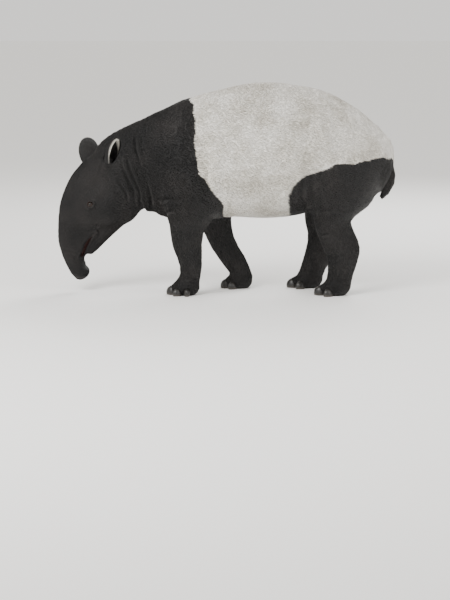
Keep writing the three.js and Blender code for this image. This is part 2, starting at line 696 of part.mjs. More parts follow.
// Head and neck
const front = carve([-830, -240, 20], [-200, 240, 920], 7, 4800);
const beyondNeck = beyond(front, NECK_CUT);
add("neck", beyond(beyondNeck, HEAD_CUT, -1), BLACK);
let skull = beyond(beyondNeck, HEAD_CUT);
add("jaw", skull.intersect(room(JAW_ROOM, -GAP / 2)), BLACK);
skull = skull.subtract(room(JAW_ROOM, GAP / 2));
const snout = [-1, 1].reduce((solid, side) => {
  const basis = [
    new THREE.Vector3(0.8, 0, -0.6),
    new THREE.Vector3(0, 1, 0),
    new THREE.Vector3(0.6, 0, 0.8),
  ];
  return solid.subtract(pebble([-694, side * 15, 66], [12, 7, 22], basis));
}, beyond(skull, SNOUT_CUT));
add("snout", snout, BLACK);
skull = beyond(skull, SNOUT_CUT, -1);
EARS.forEach((sizes) => {
  const { leaf, pocket } = ear(sizes);
  skull = skull.subtract(pocket);
  add(sizes.name, leaf, BLACK);
});
[
  ["eye_left", -1],
  ["eye_right", 1],
].forEach(([name, side]) => {
  const middle = [EYE.x, side * (sideAt(EYE.x, EYE.z) - EYE.sunk), EYE.z];
  const radii = [EYE.radius, EYE.radius, EYE.radius];
  // Lids: a soft rim round the almond opening, over the edge of the eyeball
  const rim = Array.from({ length: 12 }, (_, i) => {
    const turn = (i / 12) * 2 * Math.PI;
    const [across, up] = [EYE.opening[0] * Math.cos(turn), EYE.opening[1] * Math.sin(turn)];
    const x = EYE.x + across * Math.cos(EYE.tilt) - up * Math.sin(EYE.tilt);
    const z = EYE.z + across * Math.sin(EYE.tilt) + up * Math.cos(EYE.tilt);
    return new THREE.Vector3(x, side * (sideAt(x, z) + 1.5), z);
  });
  const loop = new THREE.CatmullRomCurve3(rim, true);
  skull = skull.add(solidOfGeometry(new THREE.TubeGeometry(loop, 22, EYE.lid, 7, true)));
  skull = skull.subtract(pebble(middle, radii, UPRIGHT, GAP, [16, 11]));
  add(name, pebble(middle, radii, UPRIGHT, 0, [16, 11]), GLASS);
});
add("head", skull, BLACK);

// Legs and hooves
LEGS.forEach(({ name, rows }) => {
  const kind = name.split("_")[0];
  const [xs, ys] = [rows.map((r) => r[0]), rows.map((r) => r[1])];
  const low = [Math.min(...xs) - 170, Math.min(...ys) - 110, -20];
  const high = [Math.max(...xs) + 160, Math.max(...ys) + 110, 420];
  if (ys[0] < 0) high[1] = Math.min(high[1], 0);
  else low[1] = Math.max(low[1], 0);
  let standing = beyond(beyond(carve(low, high, 8, 1000), FLOOR), LEG_CUT);
  hooves
    .filter((hoof) => hoof.name.startsWith(name))
    .forEach((hoof) => {
      const [wayX, wayY] = hoof.way;
      const middle = [hoof.tip[0] + wayX * 6, hoof.tip[1] + wayY * 6, hoof.tip[2] * 0.5];
      const radii = [hoof.size * 1.15, hoof.size * 0.84, hoof.size * 1.2];
      const [c, s] = [Math.cos(0.3), Math.sin(0.3)];
      const basis = [
        new THREE.Vector3(wayX * c, wayY * c, -s),
        new THREE.Vector3(-wayY, wayX, 0),
        new THREE.Vector3(wayX * s, wayY * s, c),
      ];
      standing = standing.subtract(pebble(middle, radii, basis, GAP));
      add(hoof.name, beyond(pebble(middle, radii, basis), FLOOR), HORN);
    });
  add(name + "_upper", beyond(standing, SHIN_CUTS[kind], -1), BLACK);
  add(name + "_lower", beyond(standing, SHIN_CUTS[kind]), BLACK);
});

// Everything moves so that the origin is the middle of the box round the animal, on the floor.
const box = new THREE.Box3().setFromObject(tapir);
const shift = [-(box.min.x + box.max.x) / 2, -(box.min.y + box.max.y) / 2, -box.min.z];
tapir.children.forEach((mesh) => mesh.geometry.translate(...shift));

export default tapir;
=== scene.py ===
# A Malayan tapir at life size, grazing with its head down. Metres, +Z up.
# The animal faces -X, and its left side, -Y, is the side towards the camera.
import math

import bmesh
import bpy
import numpy as np
from mathutils import Matrix, Vector
from mathutils.bvhtree import BVHTree


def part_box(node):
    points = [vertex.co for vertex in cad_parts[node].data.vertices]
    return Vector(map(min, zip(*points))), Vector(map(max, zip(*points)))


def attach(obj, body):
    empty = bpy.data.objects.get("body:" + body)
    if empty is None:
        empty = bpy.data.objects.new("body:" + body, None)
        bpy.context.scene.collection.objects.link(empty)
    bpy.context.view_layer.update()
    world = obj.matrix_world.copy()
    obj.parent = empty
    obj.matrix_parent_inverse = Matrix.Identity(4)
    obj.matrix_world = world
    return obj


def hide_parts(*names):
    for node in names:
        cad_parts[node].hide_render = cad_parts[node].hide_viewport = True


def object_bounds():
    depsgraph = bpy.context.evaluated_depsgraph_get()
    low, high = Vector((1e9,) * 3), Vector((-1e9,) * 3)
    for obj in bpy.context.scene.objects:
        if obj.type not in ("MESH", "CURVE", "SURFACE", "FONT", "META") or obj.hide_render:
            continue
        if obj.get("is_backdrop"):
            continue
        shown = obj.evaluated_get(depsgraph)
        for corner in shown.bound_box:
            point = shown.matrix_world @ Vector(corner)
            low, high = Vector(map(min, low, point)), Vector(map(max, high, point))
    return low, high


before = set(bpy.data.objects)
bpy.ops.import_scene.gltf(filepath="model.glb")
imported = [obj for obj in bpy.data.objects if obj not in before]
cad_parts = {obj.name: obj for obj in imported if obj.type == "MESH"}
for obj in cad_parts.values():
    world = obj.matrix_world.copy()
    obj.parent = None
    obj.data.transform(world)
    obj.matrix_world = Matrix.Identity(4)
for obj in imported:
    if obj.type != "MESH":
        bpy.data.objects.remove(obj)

scene = bpy.context.scene
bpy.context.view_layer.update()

# Named sizes, in metres where they are lengths
EYE_RADIUS = 0.017
EYE_PLACE = (-0.634, 0.427)  # x and z of the eye before the animal is centred
EYE_TILT = 0.5  # the outer corner lies above the inner one, in radians
COAT_DEPTH = 0.0022  # the skin lies this far under the outside of the short fur
SKIN_GRID = 0.0032
SKIN_ROUNDS = 45  # how often the skin is evened out
SKIN_TRIANGLES = 186000
EAR_GRID = 0.0017
EAR_ROUNDS = 6
LEGS = ["foreleg_left", "foreleg_right", "hindleg_left", "hindleg_right"]
FLESH = ["torso", "neck", "head", "snout", "jaw", "tail"]
FLESH += [f"{leg}_{part}" for leg in LEGS for part in ("upper", "lower")]

# How far the centred animal stands from the sizes that the drawing was measured in
eye_low, eye_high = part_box("eye_left")
SHIFT_X = (eye_low.x + eye_high.x) / 2 - EYE_PLACE[0]
SHIFT_Y = sum(corner.y for side in ("left", "right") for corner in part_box(f"eye_{side}")) / 4


def spot(x, y, z):
    """A point given in millimetres as measured, in metres of the frame."""
    return Vector((x / 1000 + SHIFT_X, y / 1000 + SHIFT_Y, z / 1000))


def measured(points):
    """Points of the frame in the millimetres that the drawing was measured in."""
    return (points - [SHIFT_X, SHIFT_Y, 0]) * 1000


def soft_step(low, high, value):
    t = np.clip((value - low) / (high - low), 0, 1)
    return t * t * (3 - 2 * t)


def distance_to_line(points, line):
    """How far each point lies from a line of several points, and how far along it, 0 to 1."""
    nearest = np.full(len(points), 9e3)
    share = np.zeros(len(points))
    line = np.array(line, float)
    for i, (a, b) in enumerate(zip(line[:-1], line[1:])):
        along = b - a
        t = np.clip((points - a) @ along / (along @ along), 0, 1)
        far = np.linalg.norm(points - a - t[:, None] * along, axis=1)
        share = np.where(far < nearest, (i + t) / (len(line) - 1), share)
        nearest = np.minimum(nearest, far)
    return nearest, share


def inside_outline(points, outline):
    inside = np.zeros(len(points), bool)
    for (ax, az), (bx, bz) in zip(outline, outline[1:] + outline[:1]):
        crosses = (az > points[:, 1]) != (bz > points[:, 1])
        with np.errstate(divide="ignore", invalid="ignore"):
            at = (bx - ax) * (points[:, 1] - az) / (bz - az) + ax
        inside ^= crosses & (points[:, 0] < at)
    return inside


# The camera: the animal's left profile through a long lens, 9 degrees above the horizon
MM_PER_PIXEL = 4.8
FLOOR_ROW = 291  # the photo's row of pixels at which the near feet stand
PHOTO_ROWS = 600
SENSOR = 36  # millimetres
DISTANCE = 9.0
ELEVATION = math.radians(9)
camera_data = bpy.data.cameras.new("camera")
camera = bpy.data.objects.new("camera", camera_data)
scene.collection.objects.link(camera)
scene.camera = camera
aim = Vector((SHIFT_X, 0, (FLOOR_ROW - PHOTO_ROWS / 2) * MM_PER_PIXEL / 1000))
camera.location = aim + DISTANCE * Vector((0, -math.cos(ELEVATION), math.sin(ELEVATION)))
camera.rotation_euler = (math.radians(90) - ELEVATION, 0, 0)
camera_data.sensor_width = SENSOR
camera_data.lens = SENSOR * DISTANCE / (PHOTO_ROWS * MM_PER_PIXEL / 1000)
camera_data.clip_end = 200


# Materials
def linear(hex_colour):
    """An sRGB hex colour as linear red, green, blue and alpha."""
    parts = [int(hex_colour[i : i + 2], 16) / 255 for i in (1, 3, 5)]
    return [c / 12.92 if c <= 0.04045 else ((c + 0.055) / 1.055) ** 2.4 for c in parts] + [1.0]


def node(tree, kind, settings=None, **links):
    """Adds a node. settings are its properties. links give each input a value or a socket."""
    made = tree.nodes.new(kind)
    for name, value in (settings or {}).items():
        setattr(made, name, value)
    for name, value in links.items():
        key = int(name[1:]) if name[0] == "_" else name.replace("_", " ")
        socket = made.inputs[key]
        if isinstance(value, bpy.types.NodeSocket):
            tree.links.new(value, socket)
        else:
            socket.default_value = value
    return made


def ramp(tree, factor, stops):
    made = node(tree, "ShaderNodeValToRGB", Fac=factor)
    elements = made.color_ramp.elements
    while len(elements) < len(stops):
        elements.new(0.5)
    for element, (position, colour) in zip(elements, stops):
        element.position = position
        element.color = linear(colour)
    return made.outputs["Color"]


def sums(tree, operation, *values):
    settings = {"operation": operation}
    links = {f"_{i}": value for i, value in enumerate(values)}
    return node(tree, "ShaderNodeMath", settings, **links).outputs[0]


def vectors(tree, operation, *values):
    settings = {"operation": operation}
    links = {f"_{i}": value for i, value in enumerate(values)}
    return node(tree, "ShaderNodeVectorMath", settings, **links)


def attribute(tree, name):
    return node(tree, "ShaderNodeAttribute", {"attribute_name": name}).outputs["Fac"]


def mapped_range(tree, value, before, after):
    """Maps the range before to the range after, and holds the ends."""
    limits = dict(zip(("_1", "_2", "_3", "_4"), (*before, *after)))
    return node(tree, "ShaderNodeMapRange", Value=value, **limits).outputs[0]


def blend_colours(tree, factor, one, other):
    return node(tree, "ShaderNodeMix", {"data_type": "RGBA"}, _0=factor, _6=one, _7=other).outputs[2]


def material(name, **settings):
    made = bpy.data.materials.new(name)
    made.use_nodes = True
    tree = made.node_tree
    tree.nodes.clear()
    shader = node(tree, "ShaderNodeBsdfPrincipled")
    for key, value in settings.items():
        shader.inputs[key.replace("_", " ")].default_value = value
    node(tree, "ShaderNodeOutputMaterial", Surface=shader.outputs["BSDF"])
    return made, tree, shader


def hair_factor(tree, tufted):
    """Light and dark from hair to hair, patch to patch and, on the tufts, lock to lock."""
    where = node(tree, "ShaderNodeTexCoord").outputs["Object"]
    # A hair is about 0.1 mm thick. Its streaks are drawn 3 mm wide so that they show.
    stretched = node(tree, "ShaderNodeMapping", Vector=where, Scale=(60, 330, 190)).outputs[0]
    streaks = node(tree, "ShaderNodeTexNoise", Vector=stretched, Scale=1.0, Detail=3.0).outputs[0]
    patches = node(tree, "ShaderNodeTexNoise", Vector=where, Scale=7.0, Detail=4.0).outputs[0]
    mixed = sums(tree, "MULTIPLY_ADD", streaks, 0.45, patches)
    if tufted:
        mixed = sums(tree, "MULTIPLY_ADD", attribute(tree, "shade"), 0.34, mixed)
        mixed = sums(tree, "SUBTRACT", mixed, 0.17)
    return where, streaks, mixed


def two_colours(tree, mixed):
    """The coat's black, and its white where marking, the millimetres inside the white, is above 0."""
    inside = mapped_range(tree, attribute(tree, "marking"), COLOUR_EDGE, (0.0, 1.0))
    return blend_colours(tree, inside, ramp(tree, mixed, BLACK_STOPS), ramp(tree, mixed, WHITE_STOPS))


def fur_material(name, stops, **settings):
    """Guard hairs lying flat: fine streaks, each lock its own shade. Without stops, in both colours."""
    made, tree, shader = material(name, **settings)
    mixed = hair_factor(tree, True)[-1]
    colour = ramp(tree, mixed, stops) if stops else two_colours(tree, mixed)
    tree.links.new(colour, shader.inputs["Base Color"])
    return made


COLOUR_EDGE = (-2.0, 2.0)  # millimetres over which black turns to white
WORN_HORN = (0.002, 0.012)  # metres above the sole over which the wear fades
IRIS_EDGE = (0.0108, 0.0125)  # metres from the eye's axis
PUPIL_EDGE = (0.0048, 0.0054)
BLACK_STOPS = [(0.45, "#090808"), (0.66, "#131212"), (0.9, "#242120")]
WHITE_STOPS = [(0.45, "#b9b3a7"), (0.64, "#d8d3c8"), (0.85, "#efece6")]


def hide_material():
    """Hide under short fur, seen between the locks, in both colours, with bare lips and lids."""
    made, tree, shader = material("short_fur_hide_black_and_white", Roughness=0.66)
    shader.inputs["Specular IOR Level"].default_value = 0.3
    where, streaks, mixed = hair_factor(tree, False)
    both = two_colours(tree, mixed)
    # Bare skin has a net of creases about 3 mm apart. Its colour is painted darker along the creases, as
    # painted shade in them.
    creases = node(
        tree, "ShaderNodeTexVoronoi", {"feature": "DISTANCE_TO_EDGE"}, Vector=where, Scale=330.0
    ).outputs["Distance"]
    bare_colour_painted_crease_shade = ramp(tree, creases, [(0.0, "#141111"), (0.25, "#2a2423"), (0.9, "#363030")])
    both = blend_colours(tree, attribute(tree, "bare"), both, bare_colour_painted_crease_shade)
    both = blend_colours(tree, attribute(tree, "mouth"), both, linear("#46302e"))
    tree.links.new(both, shader.inputs["Base Color"])
    crease_depth = sums(tree, "MULTIPLY", attribute(tree, "bare"), 1.5)
    height = sums(tree, "MULTIPLY_ADD", creases, crease_depth, streaks)
    bump = node(tree, "ShaderNodeBump", Strength=0.6, Distance=0.0016, Height=height)
    tree.links.new(bump.outputs[0], shader.inputs["Normal"])
    return made


def horn_material():
    """Hoof horn: dense dark keratin with growth rings about 8 mm apart, worn paler at the sole."""
    made, tree, shader = material("hoof_horn_keratin", Roughness=0.42)
    where = node(tree, "ShaderNodeTexCoord").outputs["Object"]
    rings = node(
        tree, "ShaderNodeTexWave", {"bands_direction": "Z"},
        Vector=where, Scale=40.0, Distortion=4.0, Detail=3.0,
    ).outputs["Fac"]
    grain = node(tree, "ShaderNodeTexNoise", Vector=where, Scale=90.0, Detail=5.0).outputs[0]
    mixed = sums(tree, "MULTIPLY_ADD", rings, 0.14, sums(tree, "MULTIPLY", grain, 0.8))
    colour = ramp(tree, mixed, [(0.3, "#0f0e0d"), (0.5, "#1d1b19"), (0.75, "#36322e")])
    height = node(tree, "ShaderNodeSeparateXYZ", Vector=where).outputs["Z"]
    worn = mapped_range(tree, height, WORN_HORN, (0.55, 0.0))
    tree.links.new(blend_colours(tree, worn, colour, linear("#57504a")), shader.inputs["Base Color"])
    bump = node(tree, "ShaderNodeBump", Strength=0.7, Distance=0.0012, Height=mixed)
    tree.links.new(bump.outputs[0], shader.inputs["Normal"])
    return made


def eye_material(name, centre, outward, along):
    """A wet dark eye: near-black oval pupil, brown iris with fibres, a darker rim to the white."""
    made, tree, shader = material(name, Roughness=0.05, IOR=1.38)
    # The pattern is turned so that its Z looks out of the eye and its X follows the lids
    turn = Matrix((along, outward.cross(along), outward)).transposed().to_euler()
    where = node(tree, "ShaderNodeTexCoord").outputs["Object"]
    aimed = node(
        tree, "ShaderNodeMapping", {"vector_type": "TEXTURE"}, Vector=where, Location=centre, Rotation=turn
    ).outputs[0]
    flat = vectors(tree, "MULTIPLY", aimed, (1, 1, 0)).outputs[0]
    far = vectors(tree, "LENGTH", flat).outputs["Value"]
    oval = vectors(tree, "MULTIPLY", flat, (0.72, 1.25, 0)).outputs[0]
    pupil_far = vectors(tree, "LENGTH", oval).outputs["Value"]
    unit = vectors(tree, "NORMALIZE", flat).outputs[0]
    fibres = node(tree, "ShaderNodeTexNoise", Vector=unit, Scale=14.0, Detail=3.0).outputs[0]
    brown = ramp(tree, fibres, [(0.35, "#100906"), (0.65, "#2b190d")])
    rim = mapped_range(tree, far, IRIS_EDGE, (0.0, 1.0))
    iris = blend_colours(tree, rim, brown, linear("#1c1412"))
    pupil = mapped_range(tree, pupil_far, PUPIL_EDGE, (1.0, 0.0))
    tree.links.new(blend_colours(tree, pupil, iris, linear("#040404")), shader.inputs["Base Color"])
    return made


HIDE = hide_material()
HORN = horn_material()
GLOSS = {"Roughness": 0.52, "Specular_IOR_Level": 0.35, "Sheen_Weight": 0.05, "Sheen_Roughness": 0.4}
BLACK_FUR = fur_material("black_guard_hair", BLACK_STOPS, **GLOSS)
EAR_FUR = fur_material("black_ear_hair_with_white_edge", None, **GLOSS)
WHITE_FUR = fur_material("white_guard_hair", WHITE_STOPS, **{**GLOSS, "Roughness": 0.62})


# Meshes
def points_of(mesh):
    flat = np.empty(len(mesh.vertices) * 3, np.float32)
    mesh.vertices.foreach_get("co", flat)
    return flat.reshape(-1, 3).astype(float)


def normals_of(mesh):
    flat = np.empty(len(mesh.vertices) * 3, np.float32)
    mesh.vertex_normals.foreach_get("vector", flat)
    return flat.reshape(-1, 3).astype(float)


def move_points(mesh, points):
    mesh.vertices.foreach_set("co", points.astype(np.float32).ravel())
    mesh.update()


def new_object(name, data):
    obj = bpy.data.objects.new(name, data)
    scene.collection.objects.link(obj)
    return obj


def settled(obj):
    """Turns an object's modifiers into its mesh."""
    mesh = bpy.data.meshes.new_from_object(obj.evaluated_get(bpy.context.evaluated_depsgraph_get()))
    obj.modifiers.clear()
    old = obj.data
    obj.data = mesh
    bpy.data.meshes.remove(old)
    return obj


def remeshed(obj, grid):
    modifier = obj.modifiers.new("grid", "REMESH")
    modifier.mode = "VOXEL"
    modifier.voxel_size = grid
    return settled(obj)


def carved(obj, cutter):
    modifier = obj.modifiers.new("carve", "BOOLEAN")
    modifier.operation = "DIFFERENCE"
    modifier.solver = "MANIFOLD"
    modifier.object = cutter
    settled(obj)
    bpy.data.objects.remove(cutter)
    return obj


def object_from(name, shell):
    bmesh.ops.recalc_face_normals(shell, faces=shell.faces)
    mesh = bpy.data.meshes.new(name)
    shell.to_mesh(mesh)
    shell.free()
    return new_object(name, mesh)


def add_ellipsoid(shell, centre, axes, radii, segments=32, rings=20, shape=None):
    """A closed ball drawn out along three axes. shape bends its points, given in radii."""
    ball = bmesh.ops.create_uvsphere(shell, u_segments=segments, v_segments=rings, radius=1.0)
    for vertex in ball["verts"]:
        local = shape(vertex.co.copy()) if shape else vertex.co
        vertex.co = centre + sum((a * r * k for a, r, k in zip(axes, radii, local)), Vector())
    return ball["verts"]


def smooth_points(mesh, weight, rounds):
    """Evens a mesh out without shrinking it. weight says how much each point takes part."""
    points = points_of(mesh)
    flat = np.empty(len(mesh.edges) * 2, np.int32)
    mesh.edges.foreach_get("vertices", flat)
    a, b = flat.reshape(-1, 2).T
    degree = np.bincount(flat, minlength=len(points))[:, None]
    for turn in range(rounds * 2):
        total = np.empty_like(points)
        for axis in range(3):
            total[:, axis] = np.bincount(a, points[b, axis], len(points))
            total[:, axis] += np.bincount(b, points[a, axis], len(points))
        push = 0.6 if turn % 2 == 0 else -0.62
        points += push * weight[:, None] * (total / degree - points)
    return points


def store(mesh, name, values):
    kind = "FLOAT_VECTOR" if values.ndim == 2 else "FLOAT"
    made = mesh.attributes.new(name, kind, "POINT")
    made.data.foreach_set("vector" if values.ndim == 2 else "value", values.astype(np.float32).ravel())


# Ears: a cupped leaf from its base to its tip, and the way that it opens, in millimetres
EARS = {
    "left": ((-550, -56, 600), (-510, -97, 734), (0.9, -0.42, 0.1)),
    "right": ((-634, 50, 582), (-662, 92, 730), (-0.4, 0.9, 0.1)),
}
EAR_WIDTH, EAR_DEPTH = 0.051, 0.027
CUP_FORWARD, CUP_UP = 0.010, 0.006  # how far the cup's middle lies from the leaf's
EAR_WHITE = 4.2  # the greatest width of the white edge, in millimetres


def ear_frame(side):
    base, tip, opening = EARS[side]
    base, tip = spot(*base), spot(*tip)
    length = (tip - base).length
    up = (tip - base) / length
    front = Vector(opening)
    front = (front - up * front.dot(up)).normalized()
    return base, (base + tip) / 2, (front.cross(up), front, up), length


def leaf(local):
    """Wide above, drawn in towards the root."""
    height = local.z / 2
    taper = 1 + 0.16 * max(-0.5, min(0.5, height)) - 0.5 * max(0, min(0.3, -height - 0.22))
    return Vector((local.x * taper, local.y, local.z))


def make_ear(side):
    _, middle, axes, length = ear_frame(side)
    shell = bmesh.new()
    add_ellipsoid(shell, middle, axes, (EAR_WIDTH, EAR_DEPTH, length / 2), 48, 32, leaf)
    ear = object_from(f"ear_{side}_skin", shell)
    cup = bmesh.new()
    cup_middle = middle + axes[1] * CUP_FORWARD + axes[2] * CUP_UP
    cup_radii = (EAR_WIDTH - 0.0035, EAR_DEPTH - 0.002, length / 2 - 0.006)
    add_ellipsoid(cup, cup_middle, axes, cup_radii, 48, 32, leaf)
    carved(ear, object_from("cup", cup))
    remeshed(ear, EAR_GRID)
    points = points_of(ear.data)
    points = smooth_points(ear.data, np.full(len(points), 0.5), EAR_ROUNDS)
    move_points(ear.data, points)
    ear.data.shade_smooth()
    normals = normals_of(ear.data)
    local = (points - middle) @ np.array(axes).T
    in_cup = soft_step(-0.2, 0.5, normals @ np.array(axes[1])) * (local[:, 1] < 0.02)
    # The rim is where the outside and the cup meet. Its upper two thirds have a thin white edge.
    cup_local = (points - cup_middle) @ np.array(axes).T / cup_radii
    outer_local = local / (EAR_WIDTH, EAR_DEPTH, length / 2)
    off_cup, off_leaf = (np.abs(np.linalg.norm(near, axis=1) - 1) for near in (cup_local, outer_local))
    from_rim = np.maximum(off_cup, off_leaf) * 1000 * EAR_DEPTH
    height = local[:, 2] / length
    white_width = EAR_WHITE * soft_step(-0.2, 0.3, height)
    store(ear.data, "marking", white_width - from_rim - 0.5)
    store(ear.data, "bare", in_cup * soft_step(5, 12, from_rim) * 0.7)
    store(ear.data, "mouth", np.zeros(len(points)))
    way = np.tile(np.array(axes[2]), (len(points), 1))
    way -= normals * np.sum(way * normals, axis=1)[:, None]
    store(ear.data, "lie", way / np.maximum(np.linalg.norm(way, axis=1), 1e-6)[:, None])
    ear.data.materials.clear()
    ear.data.materials.append(HIDE)
    return ear


# Skin
def region_weights(points):
    """How strongly each part of the body is evened: the barrel most, the head and feet least."""
    x, z = points[:, 0], points[:, 2]
    trunk = soft_step(-0.33, -0.1, x) * soft_step(0.3, 0.46, z)
    legs = soft_step(0.06, 0.16, z) * (1 - soft_step(0.3, 0.46, z)) * soft_step(-0.3, -0.2, x)
    return np.clip(0.3 + 0.7 * trunk + 0.25 * legs, 0, 1)


# The line of the mouth on either side, from its corner to the chin: x, |y|, z and half its height
MOUTH = [
    (-618, 46, 287, 2), (-632, 42, 272, 4.5), (-648, 39, 251, 6),
    (-662, 35, 226, 6.5), (-674, 28, 198, 7), (-684, 22, 172, 8),
]
MOUTH_DEPTH = 20
MOUTH_POINTS = 12

# Folds of the skin: a line in the side view, its depth and width, and the sides it is on.
# Every fold is deepened by FOLD_STRENGTH, because the coat evens them out again.
FOLD_STRENGTH = 1.8
FOLDS = [
    ([(-499, 514), (-461, 456), (-456, 427)], 2.6, 7, (-1, 1)),
    ([(-485, 590), (-456, 523), (-427, 470), (-424, 400)], 3.0, 8, (-1, 1)),
    ([(-461, 624), (-442, 557), (-408, 480), (-396, 410)], 3.2, 8, (-1, 1)),
    ([(-422, 725), (-418, 667), (-398, 595)], 2.4, 8, (-1, 1)),
    ([(-365, 504), (-350, 437), (-346, 395)], 2.8, 8, (-1, 1)),
    ([(-312, 427), (-264, 427), (-216, 413)], 2.6, 9, (-1, 1)),
    ([(-283, 370), (-245, 372)], 2.4, 7, (-1, 1)),
    ([(364, 533), (355, 480), (355, 437), (374, 408)], 4.0, 12, (-1, 1)),
    ([(456, 374), (520, 378), (562, 374)], 3.0, 9, (-1,)),
    ([(440, 374), (500, 378), (530, 374)], 3.0, 9, (1,)),
    ([(448, 259), (480, 262), (504, 259)], 2.4, 7, (-1,)),
    ([(462, 178), (504, 180)], 2.2, 6, (-1,)),
    ([(-70, 395), (-90, 420), (-128, 440)], 3.0, 9, (-1,)),
    ([(-560, 640), (-585, 590), (-590, 560)], 1.6, 6, (-1, 1)),
    ([(-640, 288), (-612, 300), (-596, 318)], 2.0, 6, (-1, 1)),
]

# Muscle and bone under the skin: a line in the side view, its rise (or dip) and its width
FORMS = [
    ([(-650, 396), (-612, 462), (-570, 500)], 3.0, 16),
    ([(-655, 470), (-600, 530)], -3.0, 26),
    ([(-560, 410), (-520, 470)], 5.0, 34),
    ([(-600, 372), (-560, 380)], -2.5, 20),
    ([(-222, 760), (-190, 640), (-150, 520), (-120, 450)], 5.0, 26),
    ([(-110, 720), (-92, 620), (-80, 520)], -4.0, 26),
    ([(-290, 620), (-250, 520), (-230, 440)], -4.0, 30),
    ([(-98, 430), (-92, 400)], 5.0, 26),
    ([(440, 800), (470, 700), (500, 600)], 4.0, 34),
    ([(380, 640), (400, 560), (410, 500)], -3.0, 26),
    ([(600, 640), (600, 560), (585, 480)], -4.0, 20),
    ([(540, 620), (500, 520), (470, 450)], 4.0, 34),
    ([(620, 470), (596, 400), (580, 330)], 4.0, 16),
]
RIBS = [(-52 + 54 * i, 0.6 + 0.08 * i) for i in range(7)]  # where each one's foot is, and its slant
RIB_RISE, RIB_WIDTH = 1.1, 15
LIP_RISE, LIP_AWAY, LIP_WIDTH = 2.6, 13, 6  # the roll lies LIP_AWAY from the line of the mouth
RING_RISE = 0.5  # of the wrinkles round the snout


def as_drawn(points):
    """Where points of either flank stand in the drawing, which looks down on them a little."""
    up = points[:, 2] * math.cos(ELEVATION) - np.abs(points[:, 1]) * math.sin(ELEVATION)
    return np.column_stack([points[:, 0], up])


def fold_depth(points):
    side_view = as_drawn(points)
    depth = np.zeros(len(points))
    for line, deep, width, sides in FOLDS:
        near, share = distance_to_line(side_view, line)
        near = near / width
        ends = soft_step(0, 0.25, share) * soft_step(0, 0.25, 1 - share) * 0.75 + 0.25
        shape = np.exp(-(near**2)) - 0.35 * np.exp(-((near - 2.0) ** 2))
        depth += FOLD_STRENGTH * deep * shape * ends * sum(points[:, 1] * side > 10 for side in sides)
    return depth


def form_height(points):
    side_view = points[:, [0, 2]]
    height = np.zeros(len(points))
    for line, rise, width in FORMS:
        near = distance_to_line(side_view, line)[0]
        height += rise * np.exp(-((near / width) ** 2)) * soft_step(0, 30, np.abs(points[:, 1]))
    x, z = points[:, 0], points[:, 2]
    for foot, slant in RIBS:
        near = (x - foot - (z - 420) * 0.12 * slant) / RIB_WIDTH
        height += RIB_RISE * np.exp(-(near**2)) * soft_step(400, 470, z) * (1 - soft_step(600, 720, z))
    # Lips: a low roll round the mouth
    lip = distance_to_line(side_view, [(m[0], m[2]) for m in MOUTH])[0]
    roll = LIP_RISE * np.exp(-(((lip - LIP_AWAY) / LIP_WIDTH) ** 2))
    height += roll * (x < -600) * soft_step(8, 16, np.abs(points[:, 1]))
    # Rings of wrinkles round the trunk of the snout, closer together towards its tip
    ring = np.sin((z + 0.28 * x) / (2.6 + 0.006 * z)) * (0.35 + 0.65 * np.sin(x * 0.05 + z * 0.031) ** 2)
    on_trunk = (1 - soft_step(200, 300, z)) * (1 - soft_step(-640, -610, x)) * soft_step(66, 90, z)
    return height + RING_RISE * ring * on_trunk * soft_step(4, 20, np.abs(points[:, 1]))


def add_mouth(shell, side):
    """A curved slot between the lips, open to the side."""
    rings = []
    for i, (x, y, z, half) in enumerate(MOUTH):
        before, after = MOUTH[max(i - 1, 0)], MOUTH[min(i + 1, len(MOUTH) - 1)]
        way = Vector((after[0] - before[0], 0, after[2] - before[2])).normalized()
        across = Vector((-way.z, 0, way.x))
        ring = []
        for k in range(MOUTH_POINTS):
            a = k * math.tau / MOUTH_POINTS
            inward = -10 + MOUTH_DEPTH * (1 - math.cos(a)) / 2 * 1.6
            centre = spot(x, side * (y - inward), z)
            ring.append(shell.verts.new(centre + across * half / 1000 * math.sin(a)))
        rings.append(ring)
    for one, other in zip(rings, rings[1:]):
        for k in range(MOUTH_POINTS):
            after = (k + 1) % MOUTH_POINTS
            shell.faces.new((one[k], one[after], other[after], other[k]))
    shell.faces.new(rings[0])
    shell.faces.new(rings[-1])


def flesh_mesh(name, cutters):
    shell = bmesh.new()
    shell.from_mesh(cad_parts[name].data)
    bmesh.ops.remove_doubles(shell, verts=shell.verts, dist=1e-6)
    obj = object_from("flesh", shell)
    for cutter in cutters:
        tool = bmesh.new()
        cutter(tool)
        carved(obj, object_from("cutter", tool))
    return obj


def ear_root(shell, side):
    """The muscle that an ear grows from. It fills the ear's seat in the head."""
    base, _, axes, _ = ear_frame(side)
    add_ellipsoid(shell, base + axes[2] * 0.012, axes, (0.047, 0.031, 0.036))


def eye_frame(side):
    """The eye's centre, and the way it looks, with the ways along and across its lids."""
    low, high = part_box(f"eye_{side}")
    centre = (low + high) / 2
    sign = -1 if side == "left" else 1
    outward = Vector((-0.16, sign, 0.1)).normalized()
    along = Vector((math.cos(EYE_TILT), 0, math.sin(EYE_TILT)))
    along = (along - outward * along.dot(outward)).normalized()
    across = outward.cross(along) if sign < 0 else along.cross(outward)
    if across.z < 0:
        across = -across
    return centre, outward, along, across


def eye_bulge(shell, side):
    """Closes the socket with a low dome that the lids are shaped on."""
    centre, outward, along, across = eye_frame(side)
    add_ellipsoid(shell, centre - outward * 0.010, (along, across, outward), (0.031, 0.028, 0.0235))


